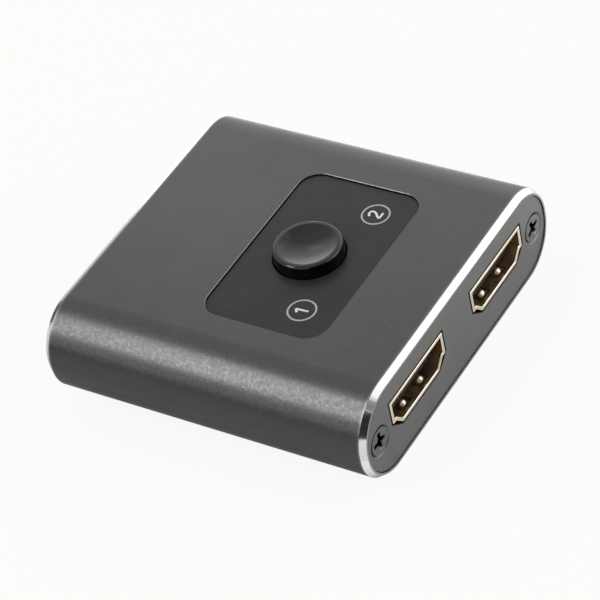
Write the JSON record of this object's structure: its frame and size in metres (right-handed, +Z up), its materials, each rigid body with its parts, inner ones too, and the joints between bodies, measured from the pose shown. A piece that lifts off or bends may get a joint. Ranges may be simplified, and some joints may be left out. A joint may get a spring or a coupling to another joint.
{
  "type": "video switch box",
  "caption": "Flat aluminium video switch box with round sides, bright-cut ends, a dished push button in a dark top panel, input sockets at the front and an output socket at the rear.",
  "frame": {"origin": "middle of the flat rest face under the case", "axes": "+Z up from the rest face, +X to the right seen from the front end with the inputs, +Y from the front end to the rear end with the output"},
  "size_m": [0.0536, 0.0526, 0.0169],
  "materials": {
    "sleeve_metal": "dark grey anodised, fine bead-blasted, with bright-cut chamfers",
    "plate_metal": "grey anodised, matt",
    "screw_steel": "dark plated",
    "panel_plastic": "smooth dark sheet with printed rings and digits",
    "tape": "adhesive film",
    "button_plastic": "polished black moulding",
    "black_moulding": "black heat-proof moulding",
    "switch_metal": "tinned sheet",
    "white_moulding": "natural white moulding",
    "spring_steel": "drawn wire",
    "tinned_brass": "tinned",
    "shell_metal": "pale gold plating",
    "contact_gold": "gold plating",
    "board_laminate": "green lacquered laminate",
    "chip_moulding": "black epoxy",
    "lamp_resin": "clear resin",
    "capacitor_ceramic": "fired ceramic with tinned ends",
    "resistor_ceramic": "glazed ceramic with tinned ends"
  },
  "bodies": {
    "case": {"case_sleeve": "sleeve_metal", "front_end_plate": "plate_metal", "rear_end_plate": "plate_metal", "front_screws": "screw_steel", "rear_screws": "screw_steel", "top_panel": "panel_plastic", "panel_tape": "tape", "switch_base": "black_moulding", "switch_cover": "switch_metal", "switch_spring": "spring_steel", "switch_pins": "tinned_brass", "input_1_shell": "shell_metal", "input_1_insulator": "black_moulding", "input_1_contacts": "contact_gold", "input_2_shell": "shell_metal", "input_2_insulator": "black_moulding", "input_2_contacts": "contact_gold", "output_shell": "shell_metal", "output_insulator": "black_moulding", "output_contacts": "contact_gold", "circuit_board": "board_laminate", "signal_chip": "chip_moulding", "indicator_lamps": "lamp_resin", "capacitors": "capacitor_ceramic", "resistors": "resistor_ceramic"},
    "button": {"button_cap": "button_plastic", "switch_plunger": "white_moulding"}
  },
  "joints": [
    {"name": "button_press", "type": "slide", "parent": "case", "child": "button", "axis": [0, 0, -1], "range_m": [0, 0.0015], "stiffness_N_per_m": 700, "springref_m": -0.0007, "deforming": ["switch_spring"]}
  ]
}
